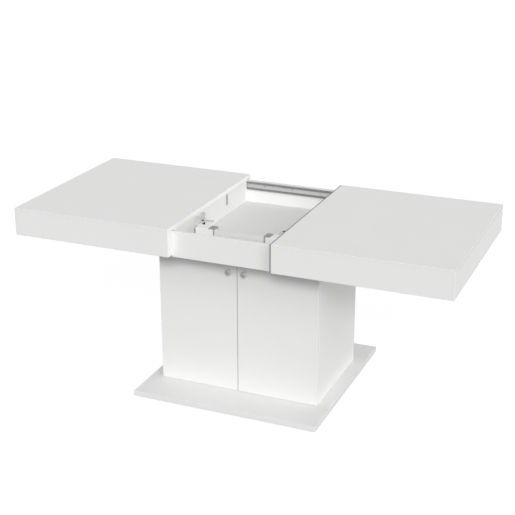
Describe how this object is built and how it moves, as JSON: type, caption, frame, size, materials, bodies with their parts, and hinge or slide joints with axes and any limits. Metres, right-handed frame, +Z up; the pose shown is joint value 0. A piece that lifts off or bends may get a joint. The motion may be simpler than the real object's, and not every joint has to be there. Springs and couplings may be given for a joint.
{
  "type": "extendable dining table",
  "caption": "Rectangular dining table on a two-door cabinet pedestal, with half-tops that slide apart over an open box for an extension leaf.",
  "frame": {"origin": "on the floor, under the middle of the table", "axes": "+X along the table's length, -Y towards the front with the doors, +Z up"},
  "size_m": [1.806, 0.802, 0.75],
  "materials": {
    "white_board": "white laminated board, satin",
    "white_plastic": "moulded white, satin",
    "dark_plastic": "moulded dark grey",
    "grey_seal": "soft matt strip",
    "zinc_steel": "zinc-plated",
    "chrome": "polished"
  },
  "bodies": {
    "pedestal": {"back_left_glide": "dark_plastic", "back_right_glide": "dark_plastic", "back_slide_channel": "zinc_steel", "back_wall": "white_board", "base_plate": "white_board", "box_floor": "white_board", "cabinet_back": "white_board", "cabinet_bottom": "white_board", "cabinet_left_side": "white_board", "cabinet_right_side": "white_board", "cabinet_shelf": "white_board", "cabinet_top": "white_board", "front_left_glide": "dark_plastic", "front_right_glide": "dark_plastic", "front_slide_channel": "zinc_steel", "front_wall": "white_board", "inner_rail": "white_board", "left_block": "white_plastic", "left_box_end": "white_board", "left_catch_post": "dark_plastic", "left_cross_rail": "white_board", "left_lower_hinge_arm": "zinc_steel", "left_strap": "zinc_steel", "left_strike_plate": "zinc_steel", "left_tee_bracket": "zinc_steel", "left_upper_hinge_arm": "zinc_steel", "right_block": "white_plastic", "right_box_end": "white_board", "right_catch_post": "dark_plastic", "right_cross_rail": "white_board", "right_lower_hinge_arm": "zinc_steel", "right_strap": "zinc_steel", "right_strike_plate": "zinc_steel", "right_tee_bracket": "zinc_steel", "right_upper_hinge_arm": "zinc_steel"},
    "left_top": {"left_back_apron": "white_board", "left_back_runner": "zinc_steel", "left_end_apron": "white_board", "left_front_apron": "white_board", "left_front_return": "white_board", "left_front_runner": "zinc_steel", "left_top_panel": "white_board"},
    "right_top": {"right_back_apron": "white_board", "right_back_runner": "zinc_steel", "right_edge_seal": "grey_seal", "right_end_apron": "white_board", "right_front_apron": "white_board", "right_front_return": "white_board", "right_front_runner": "zinc_steel", "right_top_panel": "white_board"},
    "left_door": {"left_door": "white_board", "left_knob": "chrome", "left_lower_hinge_cup": "zinc_steel", "left_upper_hinge_cup": "zinc_steel"},
    "right_door": {"right_door": "white_board", "right_knob": "chrome", "right_lower_hinge_cup": "zinc_steel", "right_upper_hinge_cup": "zinc_steel"},
    "left_catch": {"left_catch": "zinc_steel"},
    "right_catch": {"right_catch": "zinc_steel"}
  },
  "joints": [
    {"name": "left_top_slide", "type": "slide", "parent": "pedestal", "child": "left_top", "axis": [1, 0, 0], "range_m": [0, 0.209]},
    {"name": "right_top_slide", "type": "slide", "parent": "pedestal", "child": "right_top", "axis": [-1, 0, 0], "range_m": [0, 0.209]},
    {"name": "left_door_hinge", "type": "hinge", "parent": "pedestal", "child": "left_door", "pos_m": [-0.343, -0.2145, 0.3], "axis": [0, 0, -1], "range_deg": [0, 95]},
    {"name": "right_door_hinge", "type": "hinge", "parent": "pedestal", "child": "right_door", "pos_m": [0.343, -0.2145, 0.3], "axis": [0, 0, 1], "range_deg": [0, 95]},
    {"name": "left_catch_pivot", "type": "hinge", "parent": "pedestal", "child": "left_catch", "pos_m": [-0.159, -0.198, 0.729], "axis": [0, 0, -1], "range_deg": [0, 90]},
    {"name": "right_catch_pivot", "type": "hinge", "parent": "pedestal", "child": "right_catch", "pos_m": [0.185, -0.198, 0.729], "axis": [0, 0, 1], "range_deg": [0, 90]}
  ]
}
